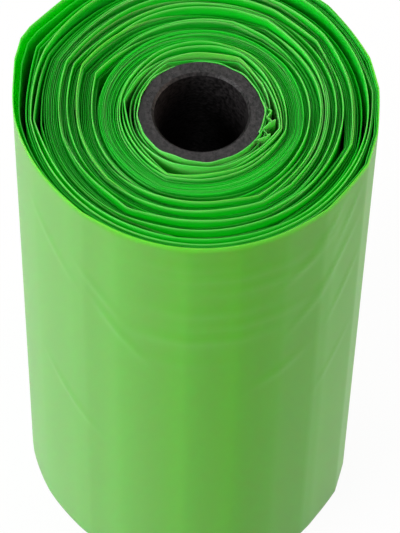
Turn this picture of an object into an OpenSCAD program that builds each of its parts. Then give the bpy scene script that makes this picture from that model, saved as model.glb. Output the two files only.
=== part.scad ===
// Roll of pet waste bags: a long web of film bags, folded lengthwise and joined end to end,
// wound on a plastic core tube. The roll stands on one end, with the core's axis along Z
// and the origin at the centre of the core's lower end.

/* [Core tube] */
// Outer diameter of the core tube
core_d = 11.8; // [10:0.1:16]
// Wall thickness of the core tube
core_wall = 1.45; // [0.8:0.05:2]
// How far the core's upper end lies below the highest edge of the film
core_recess = 1.5; // [0.5:0.1:3]
// Chamfer on the bore's two mouths
core_chamfer = 0.25; // [0.05:0.05:0.4]

/* [Film web] */
// Width of the folded web, which is the height of the standing roll
web_w = 62; // [50:1:75]
// Thickness of the folded web
web_t = 0.24; // [0.2:0.01:0.32]
// Whole turns of web on the core
turns = 28; // [12:1:30]
// Air trapped between neighbouring turns
air = 0.045; // [0.03:0.005:0.12]
// Extra air between the outermost turns, where the winding is slack
outer_air = 0.06; // [0.02:0.01:0.2]
// Extra room taken up by the crumpled first turns
start_slack = 1; // [0.3:0.1:1.6]
// Width of the loose gap under the last turns
rim_gap = 0.65; // [0:0.05:1.2]
// How far the last turns bulge on their loose side
rim_bulge = 1.5; // [0:0.1:2]
// Running gap between the core and the first turn
core_gap = 0.05; // [0.03:0.01:0.2]
// Share of the slack by which the turns lie to one side of the core
lean = 0.04; // [0:0.01:0.15]
// How far the last turns stand above the rest
rim_rise = 1.5; // [0:0.1:3]
// Depth of the grooves between bundles of turns at the upper end
top_groove = 0.7; // [0:0.05:1]
// Depth of the grooves between bundles of turns at the lower end
foot_groove = 0.3; // [0:0.05:0.5]

/* [Hidden] */

// Angles are counted anticlockwise from +X, seen from above
step_a = 7.5;     // one straight chord of the web
start_a = 337.5;  // where the web starts on the core
tail_a = 60;      // where its outer end lies
lean_a = 90;      // the side on which the slack is widest
bulge_a = 150;    // the side on which the last turns bulge
slack_turns = 4;  // turns over which the crumpled start settles
rim_turns = 2.7;  // last turns, which lie loose
gap_turns = 0.45; // part of a turn over which the loose gap opens
rise_turns = 20;  // turns over which the edges rise to the rim
groove_turn = 10; // turn at the bottom of the first deep groove between bundles
bundle_turns = 3.8; // turns in a bundle
foot_shift = 1.4; // turns between the grooves of one end and those of the other
bridge = 1.35;    // width of a crease's bridged sides, over that of a taut chord

// Creases: the turn that folds first, the angle of its corner, how far the corner stands out,
// and the share of the air gathered since then by which the turns over it close it up
creases = [
    [0, 60, 0.7, 0.7],
    [0, 345, 1.0, 0.7],
    [1, 247.5, 0.85, 0.7],
    [1, 172.5, 0.4, 0.7],
    [0, 120, 0.35, 0.7],
    [9, 75, 0.3, 0.5],
    [9, 157.5, 0.6, 0.2],
    [11, 300, 0.4, 0.45],
    [13, 60, 0.4, 0.4],
    [19, 240, 0.3, 0.7],
    [19, 37.5, 0.4, 0.7],
    [20, 345, 0.5, 0.7],
    [22, 187.5, 0.7, 0.7],
    [23, 262.5, 0.3, 0.7],
    [23, 300, 0.3, 0.7],
    [25, 152.5, 0.7, 0.2],
    [26, 7.5, 0.25, 0.5],
    [26, 90, 0.3, 0.5],
    [26, 337.5, 0.35, 0.5],
];

core_r = core_d / 2;
bore_r = core_r - core_wall;
core_l = web_w - core_recess;
seat_r = core_r + core_gap;
first_a = start_a - 360;
last_a = 360 * turns + tail_a;
steps = round((last_a - first_a) / step_a);

film_green = [0.25, 0.72, 0.20];
core_black = [0.13, 0.13, 0.14];

function wound(a) = (a - first_a) / 360;
function ease(x) = let (c = min(1, max(0, x))) c * c * (3 - 2 * c);
function total(v, i = 0) = i < len(v) ? v[i] + total(v, i + 1) : 0;

// Air gathered under the web after n turns
function slack(n) =
    air * n
    + outer_air * n * n / (2 * turns)
    + start_slack * ease(n / slack_turns)
    + rim_gap * ease((n - turns + rim_turns) / gap_turns);

// The web's inner face at angle a, before any crease
function round_r(a) =
    let (n = wound(a), side = max(0, cos(a - bulge_a)))
    seat_r + web_t * n
    + slack(n) * (1 + lean * cos(a - lean_a))
    + rim_bulge * ease((n - turns + rim_turns) / rim_turns) * side * side;

// What crease c adds at angle a: a corner with bridged sides
function crease_lift(a, c) =
    let (
        first = 360 * c[0] + c[1],
        age = floor((a - first) / 360 + 0.5),
        corner_a = first + 360 * age,
        gathered = slack(max(0, wound(corner_a))) - slack(max(0, wound(first))),
        lift = age < 0 ? 0 : max(0, c[2] - c[3] * (1 - lean) * gathered),
        span = bridge * acos(round_r(first) / (round_r(first) + c[2])),
        side = max(0, 1 - abs(a - corner_a) / span)
    )
    lift * side * side;

function face_r(a) = round_r(a) + total([for (c = creases) crease_lift(a, c)]);

// The web's upper and lower edge: bundles of turns have slid along the core, and the last stand up
function rim_share(n) = pow(min(1, max(0, (n - turns + rise_turns) / rise_turns)), 2);
function groove(n) =
    ease(n / groove_turn) * (1 + cos(360 * (n - groove_turn) / bundle_turns)) / 2;
function top_z(n) = web_w - (1 - rim_share(n)) * (rim_rise + top_groove * groove(n));
function foot_z(n) = (1 - rim_share(n)) * foot_groove * groove(n + foot_shift);

function web_section(a) =
    let (r = face_r(a), low = foot_z(wound(a)), high = top_z(wound(a)))
    [
        [r * cos(a), r * sin(a), low],
        [(r + web_t) * cos(a), (r + web_t) * sin(a), low],
        [(r + web_t) * cos(a), (r + web_t) * sin(a), high],
        [r * cos(a), r * sin(a), high],
    ];

// Extruded plastic tube, cut square, with its bore's mouths broken
module core_tube() {
    color(core_black)
        rotate_extrude($fn = 96)
            polygon([
                [bore_r + core_chamfer, 0],
                [core_r, 0],
                [core_r, core_l],
                [bore_r + core_chamfer, core_l],
                [bore_r, core_l - core_chamfer],
                [bore_r, core_chamfer],
            ]);
}

// The whole web, from its start on the core to its outer end, as one wound strip
module bag_web() {
    points = [for (i = [0:steps]) each web_section(first_a + i * step_a)];
    sides = [
        for (i = [0:steps - 1], k = [0:3])
            let (p = 4 * i + k, q = 4 * i + (k + 1) % 4)
            each [[p, q, p + 4], [q, q + 4, p + 4]]
    ];
    last = 4 * steps;
    ends = [[0, 3, 2], [0, 2, 1], [last, last + 1, last + 2], [last, last + 2, last + 3]];
    color(film_green)
        polyhedron(points = points, faces = concat(sides, ends));
}

core_tube();
bag_web();
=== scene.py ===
import math
import random

import bpy
import numpy as np
from mathutils import Matrix, Vector


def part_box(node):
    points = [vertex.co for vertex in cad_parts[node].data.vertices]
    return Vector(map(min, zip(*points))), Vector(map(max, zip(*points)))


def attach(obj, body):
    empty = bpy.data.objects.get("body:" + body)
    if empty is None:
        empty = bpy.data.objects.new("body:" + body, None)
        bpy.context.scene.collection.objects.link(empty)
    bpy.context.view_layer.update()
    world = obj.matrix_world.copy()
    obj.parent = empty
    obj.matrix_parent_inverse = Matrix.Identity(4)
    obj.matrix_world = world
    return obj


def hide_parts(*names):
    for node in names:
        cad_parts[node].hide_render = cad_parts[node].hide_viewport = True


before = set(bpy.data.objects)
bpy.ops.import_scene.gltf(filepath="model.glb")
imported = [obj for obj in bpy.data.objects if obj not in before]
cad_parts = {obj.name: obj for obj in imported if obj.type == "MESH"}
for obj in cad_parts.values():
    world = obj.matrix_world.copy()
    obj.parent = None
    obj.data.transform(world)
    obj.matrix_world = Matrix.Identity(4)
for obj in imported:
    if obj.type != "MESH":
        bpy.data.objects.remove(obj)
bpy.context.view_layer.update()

MM = 0.001

# The winding law, as in the part's source
WEB_T = 0.24
TURNS = 28
AIR = 0.045
OUTER_AIR = 0.06
START_SLACK = 1.0
RIM_GAP = 0.65
CORE_GAP = 0.05
LEAN = 0.04
FOOT_GROOVE = 0.3
START_A = 337.5
TAIL_A = 60.0
LEAN_A = 90.0
BULGE_A = 150.0
SLACK_TURNS = 4
RISE_TURNS = 20
GROOVE_TURN = 10
BUNDLE_TURNS = 3.8
FOOT_SHIFT = 1.4
BRIDGE = 1.35
# The loose gap opens earlier and more slowly than in the solid
RIM_TURNS = 3.6
GAP_TURNS = 1.9

CORE_R = (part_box("core_tube")[1] / MM).x
WEB_W = (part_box("bag_web")[1] / MM).z
SEAT_R = CORE_R + CORE_GAP

# Creases: first turn, angle of the corner, how far it stands out, share of the air that closes it
CREASES = (
    (0, 60, 0.7, 0.7),
    (0, 345, 1.0, 0.7),
    (1, 247.5, 0.85, 0.7),
    (1, 172.5, 0.4, 0.7),
    (0, 120, 0.35, 0.7),
    (9, 75, 0.3, 0.5),
    (9, 157.5, 0.6, 0.2),
    (11, 300, 0.4, 0.45),
    (13, 60, 0.4, 0.4),
    (19, 240, 0.3, 0.7),
    (19, 37.5, 0.4, 0.7),
    (20, 345, 0.5, 0.7),
    (23, 262.5, 0.3, 0.7),
    (23, 300, 0.3, 0.7),
    (26, 7.5, 0.25, 0.5),
    (26, 90, 0.3, 0.5),
    (26, 337.5, 0.35, 0.5),
)
# Creases drawn on the film alone: turn of film, and the rest as above
FILM_CREASES = (
    (2, 30, 0.10, 0.6),
    (3, 172.5, 0.08, 0.6),
    (15, 35, 0.08, 0.6),
    (21, 57.5, 0.08, 0.6),
    (22, 10, 0.10, 0.6),
    (29, 222.5, 0.12, 0.6),
    (31, 180, 0.12, 0.6),
    (31, 200, 0.10, 0.6),
    (30, 315, 0.22, 0.5),
    (37, 242.5, 0.14, 0.6),
    (37, 195, 0.12, 0.6),
    (41, 282.5, 0.14, 0.6),
    (49, 187.5, 0.12, 0.6),
    (50, 187.5, 0.38, 0.6),
    (52, 157.5, 0.42, 0.2),
    (54, 152.5, 0.20, 0.2),
    (54, 165, 0.18, 0.2),
    (53, 350, 0.18, 0.5),
    (54, 20, 0.22, 0.5),
    (54, 315, 0.15, 0.5),
    (55, 45, 0.16, 0.5),
    (54, 230, 0.12, 0.5),
)

# The film as drawn here: each turn of the solid is about two turns of folded film
LAYERS = 56
FILM_T = 0.112
FIRST_A = START_A - 360
LAST_A = 360 * LAYERS + TAIL_A
FILM_TURNS = LAYERS + (TAIL_A - FIRST_A) / 360
WEB_TURNS = TURNS + (TAIL_A - FIRST_A) / 360
PER_LAYER = WEB_TURNS / FILM_TURNS    # turns of the solid to one turn of film

# The mesh's grid
STEP_A = 2.5
WALL_STEP_A = 1.25
WALL_TURNS = 2.2      # last turns of film, which have rows all the way down
WALL_ROW = 0.6        # height of one row on the outer wall
CROWN_ARC = 4         # faces over the rounded edge of the film
SUPPORT = 0.9         # height of the first row below that edge
# Points of one ring: up the inner face, over the rounded edge and down outside
INNER = slice(1, 3)
CROWN = slice(INNER.stop, INNER.stop + CROWN_ARC + 1)
OUTER = slice(CROWN.stop, None)

# Turns of film in a bunch, share of the air that bunching moves, and phase
BUNCHES = ((3.3, 0.5, 0.0), (7.9, 0.35, 1.2))
# How far the middle turns lie to one side, where, and the turns over which that sets in
SHIFT = 0.22
SHIFT_A = 110.0
SHIFT_FROM = 8
SHIFT_TURNS = 12
# Bulge of the loose last turns on their loose side, by turns of web wound
BULGE = ((26.1, 0), (26.35, 0.03), (26.85, 0.2), (27.36, 0.92), (27.86, 1.48), (28.3, 1.5))
# How far the film wanders off its path: everywhere, and more where it is loose
WANDER = 0.006
LOOSE_WANDER = 0.016
LOOSE_FADE = 0.5      # turns over which it calms down to the outermost one
TAIL_LIFT = 0.25      # how far the outer end stands off the roll
TAIL_ARC = 12         # angle over which it does
# How far the first turn's edge leans in over the core's end: on average, and more at the far side
FIRST_LEAN = 0.08
FAR_LEAN = 0.06
FIRST_LEAN_TURNS = 0.5
FIRST_LEAN_FADE = 0.1

# Height of the film's upper edge between the ridges, by turns of web wound
FLOOR_LEVELS = (
    (0, 60.4), (3.1, 60.6), (3.5, 60.05), (8.7, 60.6), (9.1, 59.8), (15, 60.0), (20, 60.2), (25.2, 60.5),
    (26.1, 61.2), (26.6, 61.45), (28.3, 61.5),
)
# Ridges of bunched turns that stand above it: first turn, last turn and height
RIM_RIDGES = ((25.3, 26.1, 61.75), (27.6, 30, 61.95))
# The same, but each seen from one of four sides, whose angle comes first
RIDGES = (
    (0, (
        (-1, 0.45, 60.85), (1.4, 2.0, 61.05), (2.6, 3.1, 60.9), (10.2, 10.8, 60.8), (13.8, 14.6, 61.0),
        (15.5, 16.9, 61.05), (18.5, 19.0, 61.1), (20.1, 20.6, 61.1), (23.0, 23.7, 61.2),
    )),
    (90, (
        (0.8, 1.5, 60.9), (1.9, 3.2, 61.3), (11.4, 12.3, 60.8), (15.2, 15.9, 61.15), (17.1, 17.7, 61.1),
        (19.7, 20.5, 61.2), (22.6, 23.5, 61.3),
    )),
    (180, (
        (-1, 0.5, 60.95), (1.4, 1.9, 60.95), (10.3, 11.0, 60.8), (14.5, 15.5, 61.1), (17.5, 18.1, 61.1),
        (19.8, 20.4, 61.0),
    )),
    (270, (
        (-1, 0.55, 60.9), (1.0, 1.6, 61.1), (2.1, 2.7, 60.9), (11.6, 12.3, 60.75), (15.6, 16.3, 61.1),
        (19.6, 20.3, 61.2), (23.2, 23.9, 61.3),
    )),
)
RIDGE_STEP = 0.12     # turns over which the edge climbs or falls at a ridge
# How uneven the edge is, by turns of web wound
EDGE_ROUGHNESS = ((0, 1.2), (3.2, 1.2), (4, 0.5), (8, 0.6), (10, 1), (25, 1), (27, 0.4))

# Soft facets of the outer wall: angle, height, half width
FACETS = (
    (205, 0.06, 14), (224, 0.06, 12), (243, 0.10, 12), (267, 0.13, 12), (284, 0.10, 10), (300, 0.06, 10),
    (320, 0.08, 14), (20, 0.08, 14), (45, 0.06, 12), (95, 0.08, 16), (128, 0.06, 14),
)
# Faint raised bands around it: height, how far they stand out, half height, angle, half width
BANDS = (
    (58.6, 0.07, 0.6, 268, 30),
    (56.9, 0.08, 0.7, 282, 42),
    (54.6, 0.07, 0.7, 292, 34),
    (51.0, 0.08, 0.8, 274, 34),
    (48.6, 0.07, 0.7, 290, 38),
    (46.2, 0.11, 0.8, 270, 40),
    (42.0, 0.04, 0.8, 262, 30),
    (33.0, 0.04, 1.0, 100, 60),
)
# Slanting folds: angle and height of the middle, slope, half length, how far they stand out
FOLDS = (
    (243, 45.0, -0.35, 15, 0.14),
    (236, 50.0, -0.30, 14, 0.10),
    (222, 27.0, -0.25, 18, 0.12),
    (215, 52.0, -0.30, 16, 0.09),
    (310, 55.0, 0.20, 18, 0.10),
    (322, 51.0, 0.30, 16, 0.12),
    (328, 57.0, 0.42, 10, 0.10),
    (317, 58.0, 0.34, 12, 0.10),
    (328, 45.0, 0.38, 12, 0.10),
    (312, 47.0, 0.28, 15, 0.09),
    (300, 38.0, 0.16, 16, 0.09),
    (325, 33.0, 0.30, 14, 0.07),
    (30, 35.0, 0.22, 20, 0.10),
    (70, 48.0, -0.25, 16, 0.09),
    (120, 30.0, -0.22, 22, 0.10),
    (165, 46.0, 0.24, 16, 0.09),
)
FOLD_HALF = 0.6       # half height of a fold

# The crumpled start of the film, tucked in beside the core: angle, radius and upper edge of each fold
TUCK = (
    (318, 6.02, 60.6), (326, 6.10, 60.9), (331, 6.60, 61.0), (334, 6.85, 61.0), (337, 7.05, 61.1),
    (339, 6.70, 60.5), (341, 6.15, 60.8), (346, 6.60, 61.2), (350, 7.08, 61.3), (352, 6.80, 60.6),
    (354, 6.20, 60.9), (358, 6.50, 61.0), (361, 6.62, 60.9), (364, 6.30, 60.6), (372, 6.02, 60.6),
)
TUCK_POINTS = 121
TUCK_DEPTH = 3.0
TUCK_EDGE = 0.06      # depth of its edge's chamfer

# Tones, which the colour ramp turns into the film's green, and specular levels
EDGE_TONE = 0.40
PAINTED_HIGHLIGHT_TONE = 0.26      # painted highlight added on an edge that stands above its neighbours
PALE_RISE = 0.8       # rise over the floor level at which an edge is palest
PALE_FROM = 9         # turn past the tight first turns
PALE_FADE = 0.5
CRUMPLED_TURNS = 3.3
CRUMPLED_LOW = 60.3   # height of the lowest edge among the crumpled turns, with no painted highlight, and of the highest, with all of it
CRUMPLED_HIGH = 60.8
START_HIGHLIGHT_TONE = 0.7      # painted highlight added on the first turns' faces, which are seen side on
START_GLOSS = 0.3
START_TURNS = 1.7
START_FADE = 0.3
RIM_TONE = 0.2        # the outermost turn's inner face, painted less bright than the faces between turns, and what its edge adds
WALL_ARC = 8          # angle past the outer end over which the outer wall's finish sets in
# The tucked start is painted pale as a highlight
TUCK_HIGHLIGHT_TONE = 0.7
TUCK_GLOSS = 0.4
EDGE_GLOSS = 0.10
# Specular level of the outer wall by angle, a painted sheen: raised on the left to stand in for a brighter
# reflection of the floor there, low on the right
PAINTED_WALL_SHEEN = (
    (0, 0.4), (60, 0.6), (180, 1.8), (225, 1.4), (245, 0.9), (262, 0.5), (285, 0.24), (320, 0.4), (360, 0.4),
)
# Film colours by tone: deep between turns, where the low stops are painted brighter than the film to stand
# in for light that passes through it, pale on an edge, yellower on the stretched outer wall
FILM_RAMP = (
    (0.0, (0.006, 0.70, 0.020)),
    (0.22, (0.005, 0.50, 0.016)),
    (0.42, (0.020, 0.41, 0.028)),
    (0.68, (0.13, 0.54, 0.10)),
    (0.84, (0.13, 0.50, 0.04)),
    (1.0, (0.085, 0.42, 0.003)),
)
# Core colours by grain
CORE_RAMP = ((0.35, (0.002, 0.002, 0.002)), (0.7, (0.030, 0.027, 0.028)))

# The camera fitted to the photograph, whose frame is in pixels
IMAGE = (400, 533)
CAM_AT = Vector((-0.30, -171.8, 293.6))
PITCH, YAW, ROLL = 56.49, 0.19, 1.50
FOCAL_PX = 3072.78
SENSOR = 36.0

# Stage, in metres
FLOOR_HALF = 3.0
FLOOR_COLOR = (0.85, 0.85, 0.84, 1)
FLOOR_WHITE = 0.95    # share of plain white in the floor as seen, so that only a faint shadow shows
WORLD_LIGHT = 0.27
# Area lights: name, place, size, power and colour
LIGHTS = (
    ("key", (-0.76, -0.47, 0.46), (0.6, 0.6), 10.0, (1, 1, 1)),
    ("fill", (0.85, 0.05, 0.45), (0.5, 0.5), 4.4, (1, 0.74, 0.6)),
    ("top", (-0.2, 0.4, 0.8), (0.6, 0.4), 3.2, (1, 1, 1)),
)
LIGHTS_AIM = Vector((0, 0, 0.03))


def ease(x):
    c = np.clip(x, 0, 1)
    return c * c * (3 - 2 * c)


def cosd(a):
    return np.cos(np.radians(a))


def sind(a):
    return np.sin(np.radians(a))


def angle_from(a, at):
    """The signed angle from at to a, by the shorter way round."""
    return (a - at + 180) % 360 - 180


def knots(n, table):
    """A value read off a short table of (place, value) knots."""
    places, values = zip(*table)
    return np.interp(n, places, values)


def waves(seed, periods, size):
    """A smooth seeded wander of about that size, as a function of the angle wound in degrees."""
    rng = random.Random(seed)
    terms = [(360 / p, rng.uniform(0, 360), rng.uniform(0.6, 1)) for p in periods]

    def wander(a):
        return size * sum(w * sind(a * k + phase) for k, phase, w in terms) / len(terms) ** 0.5

    return wander


core_wander = waves(5, (23, 47, 71, 130), 0.09)
edge_wander = waves(3, (41, 83, 141, 233, 390, 610, 1170), 0.14)
side_wander = waves(8, (61, 97, 171, 290, 520), 1.0)
tone_wander = waves(21, (130, 310, 777, 1500, 2900), 0.12)


def web_turn(a):
    """Turns of the solid's web wound when the film has wound to the angle a."""
    return PER_LAYER * (a - FIRST_A) / 360


def bunched_turn(a):
    """The same, drawn together where turns of film cling to each other."""
    film_turn = (a - FIRST_A) / 360
    n = web_turn(a)
    for period, share, phase in BUNCHES:
        n = n - PER_LAYER * share * period / (2 * math.pi) * np.sin(2 * math.pi * film_turn / period + phase)
    return np.maximum(n, 0)


def looseness(n):
    """0 in the tight turns, and 1 past the loose gap."""
    return ease((n - TURNS + RIM_TURNS) / GAP_TURNS)


def slack(n):
    """Air gathered under the web after n turns."""
    return (
        AIR * n
        + OUTER_AIR * n * n / (2 * TURNS)
        + START_SLACK * ease(n / SLACK_TURNS)
        + RIM_GAP * looseness(n)
    )


def round_r(a):
    """The film's inner face, before any crease."""
    n = web_turn(a)
    side = np.maximum(0, cosd(a - BULGE_A))
    shift = SHIFT * ease((n - SHIFT_FROM) / SHIFT_TURNS) * (1 - looseness(n))
    return (
        SEAT_R
        + WEB_T * n
        + slack(bunched_turn(a)) * (1 + LEAN * cosd(a - LEAN_A))
        + shift * cosd(a - SHIFT_A)
        + knots(n, BULGE) * side * side
    )


def crease_lift(a, crease):
    """What a crease adds: a corner with bridged sides, closed little by little by the turns over it."""
    first_n, corner_a, height, share = crease
    off = angle_from(a, corner_a)
    corner_n = web_turn(a - off)
    gathered = np.maximum(0, slack(bunched_turn(a - off)) - slack(first_n))
    lift = np.maximum(0, height - share * (1 - LEAN) * gathered)
    first_r = SEAT_R + WEB_T * first_n + slack(first_n)
    span = BRIDGE * math.degrees(math.acos(first_r / (first_r + height)))
    side = np.maximum(0, 1 - np.abs(off) / span)
    return np.where(corner_n >= first_n - 1e-6, lift * side * side, 0)


def by_web_turn(creases, per_turn):
    """Creases with their first turn counted in turns of the solid, from the start of the web."""
    return [(per_turn * (turn + (at - FIRST_A) / 360), at, *rest) for turn, at, *rest in creases]


ALL_CREASES = by_web_turn(CREASES, 1) + by_web_turn(FILM_CREASES, PER_LAYER)


def face_r(a):
    """The film's inner face, with its creases, its wander and the lifted outer end."""
    n = web_turn(a)
    lifts = sum(crease_lift(a, c) for c in ALL_CREASES)
    loose = WANDER + LOOSE_WANDER * looseness(n) * ease((WEB_TURNS - 1 - n) / LOOSE_FADE)
    tail = TAIL_LIFT * ease(1 - (LAST_A - a) / TAIL_ARC) ** 2
    return round_r(a) + lifts + (WEB_T - FILM_T) * n / WEB_TURNS + loose * side_wander(a) + tail


def inward_lean(a):
    """How far the first turn's edge leans in over the core's end."""
    lean = FIRST_LEAN + FAR_LEAN * sind(a) + core_wander(a)
    return lean * ease((FIRST_LEAN_TURNS - web_turn(a)) / FIRST_LEAN_FADE)


def raised(z, n, ridges):
    """The edge's height z, lifted to any ridge that turn n belongs to."""
    for first, last, height in ridges:
        share = ease((n - first) / RIDGE_STEP) * (1 - ease((n - last) / RIDGE_STEP))
        z = z + share * np.maximum(0, height - z)
    return z


def top_z(a):
    n = web_turn(a)
    floor_z = knots(n, FLOOR_LEVELS)
    z = 0
    for side_a, ridges in RIDGES:
        z = z + ease(1 - np.abs(angle_from(a, side_a)) / 90) * raised(floor_z, n, ridges)
    return raised(z, n, RIM_RIDGES) + edge_wander(a) * knots(n, EDGE_ROUGHNESS)


def foot_z(a):
    n = web_turn(a)
    phase = cosd(360 * (n + FOOT_SHIFT - GROOVE_TURN) / BUNDLE_TURNS)
    groove = ease((n + FOOT_SHIFT) / GROOVE_TURN) * (1 + phase) / 2
    rise = np.clip((n - TURNS + RISE_TURNS) / RISE_TURNS, 0, 1) ** 2
    return (1 - rise) * FOOT_GROOVE * groove


def painted_highlight(a):
    """Painted highlight: edges that stand above their neighbours are painted paler, as where they catch the
    light.
    """
    n = web_turn(a)
    top = top_z(a)
    crumpled = ease((top - CRUMPLED_LOW) / (CRUMPLED_HIGH - CRUMPLED_LOW))
    bunched = ease((top - knots(n, FLOOR_LEVELS)) / PALE_RISE) * ease((n - PALE_FROM) / PALE_FADE)
    return np.where(n < CRUMPLED_TURNS, crumpled, bunched)


def outermost(a):
    """1 on the turn that shows outside, and 0 on the turns under it."""
    return ease((a - LAST_A + 360) / WALL_ARC)


def wall_relief(a, z):
    """How far the outermost film stands off its round: soft facets, raised bands and slanting folds."""
    out = 0 * z
    for at, height, width in FACETS:
        side = np.maximum(0, 1 - np.abs(angle_from(a, at)) / width)
        out = out + height * side * side
    for at_z, height, half_z, at, half_a in BANDS:
        side = ease(1 - np.abs(angle_from(a, at)) / half_a)
        out = out + height * side * np.exp(-((z - at_z) / half_z) ** 2)
    for at, at_z, slope, half_a, height in FOLDS:
        off = angle_from(a, at)
        side = ease(1 - np.abs(off) / half_a)
        out = out + height * side * np.exp(-((z - at_z - slope * off) / FOLD_HALF) ** 2)
    return out


def film_rings(a, rows):
    """Cross-sections of the film at the angles a: up its inner face, over the edge and down outside."""
    r, top, foot = face_r(a), top_z(a), foot_z(a)
    half = FILM_T / 2
    points = [(r + half, foot), (r, foot + half), (r, top - SUPPORT)]
    for k in range(CROWN_ARC + 1):
        t = math.pi * k / CROWN_ARC
        points.append((r + half - half * math.cos(t) - inward_lean(a), top - half + half * math.sin(t)))
    for share in rows:
        z = top - SUPPORT - share * (top - SUPPORT - foot - half)
        points.append((r + FILM_T + wall_relief(a, z) * outermost(a), z))
    return np.stack([np.stack([q * cosd(a), q * sind(a), z], -1) for q, z in points], 1)


def loft_faces(count, width):
    """Quads between closed rings of points, with both ends capped."""
    i, k = np.meshgrid(np.arange(count - 1), np.arange(width), indexing="ij")
    p, q = i * width + k, i * width + (k + 1) % width
    faces = np.stack([p, q, q + width, p + width], -1).reshape(-1, 4).tolist()
    faces.append(list(range(width - 1, -1, -1)))
    faces.append(list(range((count - 1) * width, count * width)))
    return faces


def set_layer(obj, name, values):
    layer = obj.data.attributes.new(name, "FLOAT", "POINT")
    layer.data.foreach_set("value", np.maximum(values, 0).ravel())


def lofted_film(name, rings, tone, gloss):
    mesh = bpy.data.meshes.new(name)
    mesh.from_pydata((rings.reshape(-1, 3) * MM).tolist(), [], loft_faces(*rings.shape[:2]))
    mesh.update()
    mesh.shade_smooth()
    obj = bpy.data.objects.new(name, mesh)
    bpy.context.scene.collection.objects.link(obj)
    set_layer(obj, "tone", tone)
    set_layer(obj, "gloss", gloss)
    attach(obj, "root")
    return obj


def film_piece(name, first_a, last_a, step_a, rows):
    steps = round((last_a - first_a) / step_a)
    a = first_a + step_a * np.arange(steps + 1)
    rings = film_rings(a, rows)
    first = (1 - ease((web_turn(a) - START_TURNS) / START_FADE))[:, None]
    wall = outermost(a)[:, None]
    tone = np.zeros(rings.shape[:2])
    # Faces between turns keep tone 0, which the ramp paints bright to stand in for light coming through the
    # film
    tone[:, INNER] = RIM_TONE * wall
    # Edges: the film's edge tone, a painted highlight on raised edges, and random tone
    tone[:, CROWN] = (EDGE_TONE + PAINTED_HIGHLIGHT_TONE * painted_highlight(a) + tone_wander(a))[:, None] + RIM_TONE * wall
    tone[:, OUTER] = wall
    # Painted highlight on the first turns' faces
    for k in (INNER.stop - 1, OUTER.start):
        tone[:, k:k + 1] += START_HIGHLIGHT_TONE * first
    gloss = np.full(rings.shape[:2], EDGE_GLOSS) + START_GLOSS * first
    # Painted sheen on the outer wall, stronger on its left
    gloss[:, OUTER] += wall * (knots(a % 360, PAINTED_WALL_SHEEN) - EDGE_GLOSS)[:, None]
    obj = lofted_film(name, rings, tone, gloss)
    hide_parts("bag_web")
    return obj


def tucked_film():
    folds = np.arange(len(TUCK))
    t = np.linspace(0, len(TUCK) - 1, TUCK_POINTS)
    at, r, top = (np.interp(t, folds, v) for v in zip(*TUCK))
    path = np.stack([r * cosd(at), r * sind(at)], -1)
    along = np.gradient(path, axis=0)
    along /= np.linalg.norm(along, axis=1)[:, None]
    across = np.stack([along[:, 1], -along[:, 0]], -1) * FILM_T / 2
    section = ((1, TUCK_DEPTH), (1, TUCK_EDGE), (0.5, 0), (-0.5, 0), (-1, TUCK_EDGE), (-1, TUCK_DEPTH))
    rings = np.zeros((len(t), len(section), 3))
    for k, (side, drop) in enumerate(section):
        rings[:, k, :2] = path + side * across
        rings[:, k, 2] = top - drop
    # Painted highlight on the tucked start
    tone = np.full(rings.shape[:2], TUCK_HIGHLIGHT_TONE)
    gloss = np.full(rings.shape[:2], TUCK_GLOSS)
    return lofted_film("tucked_start", rings, tone, gloss)


class Nodes:
    """A new material and its shader, with short ways to add and link nodes."""

    def __init__(self, name):
        self.mat = bpy.data.materials.new(name)
        self.mat.use_nodes = True
        self.tree = self.mat.node_tree
        self.shader = self.tree.nodes["Principled BSDF"]

    def add(self, kind, **inputs):
        node = self.tree.nodes.new(kind)
        for key, value in inputs.items():
            node.inputs[key].default_value = value
        return node

    def link(self, a, b):
        self.tree.links.new(a, b)

    def attribute(self, name):
        node = self.add("ShaderNodeAttribute")
        node.attribute_name = name
        return node.outputs["Fac"]

    def base_color(self, value, table):
        ramp = self.add("ShaderNodeValToRGB")
        stops = ramp.color_ramp.elements
        while len(stops) < len(table):
            stops.new(0.5)
        for stop, (at, color) in zip(stops, table):
            stop.position = at
            stop.color = (*color, 1)
        self.link(value, ramp.inputs["Fac"])
        self.link(ramp.outputs["Color"], self.shader.inputs["Base Color"])


def film_material():
    n = Nodes("bag_film")
    n.shader.inputs["Roughness"].default_value = 0.40
    n.shader.inputs["Subsurface Weight"].default_value = 0.8
    n.shader.inputs["Subsurface Radius"].default_value = (0.15, 1.0, 0.2)
    n.shader.inputs["Subsurface Scale"].default_value = 0.001
    n.base_color(n.attribute("tone"), FILM_RAMP)
    n.link(n.attribute("gloss"), n.shader.inputs["Specular IOR Level"])
    return n.mat


def core_material():
    n = Nodes("core_plastic")
    n.shader.inputs["Roughness"].default_value = 0.4
    n.shader.inputs["Specular IOR Level"].default_value = 0.18
    place = n.add("ShaderNodeTexCoord")
    grain = n.add("ShaderNodeTexNoise", Scale=3000.0, Detail=3.0)
    bump = n.add("ShaderNodeBump", Strength=0.8, Distance=0.0001)
    n.link(place.outputs["Object"], grain.inputs["Vector"])
    n.base_color(grain.outputs["Fac"], CORE_RAMP)
    n.link(grain.outputs["Fac"], bump.inputs["Height"])
    n.link(bump.outputs["Normal"], n.shader.inputs["Normal"])
    return n.mat


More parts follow.
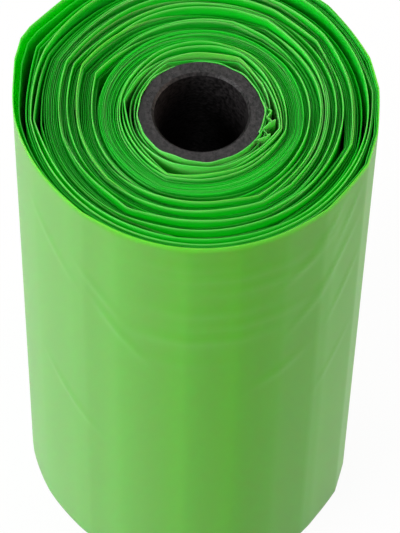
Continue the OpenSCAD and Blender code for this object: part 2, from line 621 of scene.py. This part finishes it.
def add_camera():
    pitch, yaw, roll = (math.radians(v) for v in (PITCH, YAW, ROLL))
    ahead = Vector((math.sin(yaw) * math.cos(pitch), math.cos(yaw) * math.cos(pitch), -math.sin(pitch)))
    right = ahead.cross(Vector((0, 0, 1))).normalized()
    up = right.cross(ahead)
    right, up = right * math.cos(roll) + up * math.sin(roll), up * math.cos(roll) - right * math.sin(roll)
    data = bpy.data.cameras.new("camera")
    data.sensor_width = SENSOR
    data.lens = FOCAL_PX * SENSOR / IMAGE[1]
    data.clip_start = 0.01
    data.clip_end = 20
    cam = bpy.data.objects.new("camera", data)
    cam.matrix_world = Matrix.Translation(CAM_AT * MM) @ Matrix((right, up, -ahead)).transposed().to_4x4()
    bpy.context.scene.collection.objects.link(cam)
    bpy.context.scene.camera = cam


def seen_directly(tree):
    """1 for camera, mirror and see-through rays, which show the white background, and 0 for other light."""
    path = tree.nodes.new("ShaderNodeLightPath")
    total = path.outputs["Is Camera Ray"]
    for name in ("Is Glossy Ray", "Is Transmission Ray"):
        more = tree.nodes.new("ShaderNodeMath")
        more.operation = "MAXIMUM"
        tree.links.new(total, more.inputs[0])
        tree.links.new(path.outputs[name], more.inputs[1])
        total = more.outputs[0]
    return total


def mix_into(tree, output, share, lit, white):
    """Sends a mix of two shaders to the output node: lit at share 0, white at share 1."""
    mix = tree.nodes.new("ShaderNodeMixShader")
    tree.links.new(share, mix.inputs[0])
    tree.links.new(lit, mix.inputs[1])
    tree.links.new(white, mix.inputs[2])
    tree.links.new(mix.outputs[0], tree.nodes.new(output).inputs["Surface"])


def floor_material():
    mat = bpy.data.materials.new("floor")
    mat.use_nodes = True
    tree = mat.node_tree
    tree.nodes.clear()
    diffuse = tree.nodes.new("ShaderNodeBsdfDiffuse")
    diffuse.inputs["Color"].default_value = FLOOR_COLOR
    white = tree.nodes.new("ShaderNodeEmission")
    share = tree.nodes.new("ShaderNodeMath")
    share.operation = "MULTIPLY"
    share.inputs[1].default_value = FLOOR_WHITE
    tree.links.new(seen_directly(tree), share.inputs[0])
    mix_into(tree, "ShaderNodeOutputMaterial", share.outputs[0], diffuse.outputs[0], white.outputs[0])
    return mat


def add_floor():
    corners = [(x * FLOOR_HALF, y * FLOOR_HALF, 0) for x, y in ((-1, -1), (1, -1), (1, 1), (-1, 1))]
    mesh = bpy.data.meshes.new("floor")
    mesh.from_pydata(corners, [], [(0, 1, 2, 3)])
    floor = bpy.data.objects.new("floor", mesh)
    bpy.context.scene.collection.objects.link(floor)
    floor.data.materials.append(floor_material())


def add_world():
    world = bpy.data.worlds.new("world")
    bpy.context.scene.world = world
    world.use_nodes = True
    tree = world.node_tree
    tree.nodes.clear()
    lit = tree.nodes.new("ShaderNodeBackground")
    lit.inputs["Color"].default_value = (1, 1, 1, 1)
    lit.inputs["Strength"].default_value = WORLD_LIGHT
    white = tree.nodes.new("ShaderNodeBackground")
    white.inputs["Color"].default_value = (1, 1, 1, 1)
    mix_into(tree, "ShaderNodeOutputWorld", seen_directly(tree), lit.outputs[0], white.outputs[0])


def area_light(name, at, size, power, color):
    data = bpy.data.lights.new(name, "AREA")
    data.shape = "RECTANGLE"
    data.size, data.size_y = size
    data.energy = power
    data.color = color
    obj = bpy.data.objects.new(name, data)
    obj.location = at
    obj.rotation_euler = (LIGHTS_AIM - Vector(at)).to_track_quat("-Z", "Y").to_euler()
    bpy.context.scene.collection.objects.link(obj)


# The film, in a coarse piece and a finer outer one
wall_a = FIRST_A + STEP_A * round((LAST_A - 360 * WALL_TURNS - FIRST_A) / STEP_A)
row_count = round((WEB_W - SUPPORT) / WALL_ROW)
wall_rows = [k / row_count for k in range(row_count + 1)]
inner = film_piece("wound_turns", FIRST_A, wall_a, STEP_A, (0, 1))
outer = film_piece("outer_turns", wall_a, LAST_A, WALL_STEP_A, wall_rows)
tucked = tucked_film()

film = film_material()
for piece in (inner, outer, tucked):
    piece.data.materials.append(film)

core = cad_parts["core_tube"]
core.data.materials.clear()
core.data.materials.append(core_material())

add_camera()
add_floor()
add_world()
for light in LIGHTS:
    area_light(*light)
bpy.context.scene.view_settings.view_transform = "Standard"
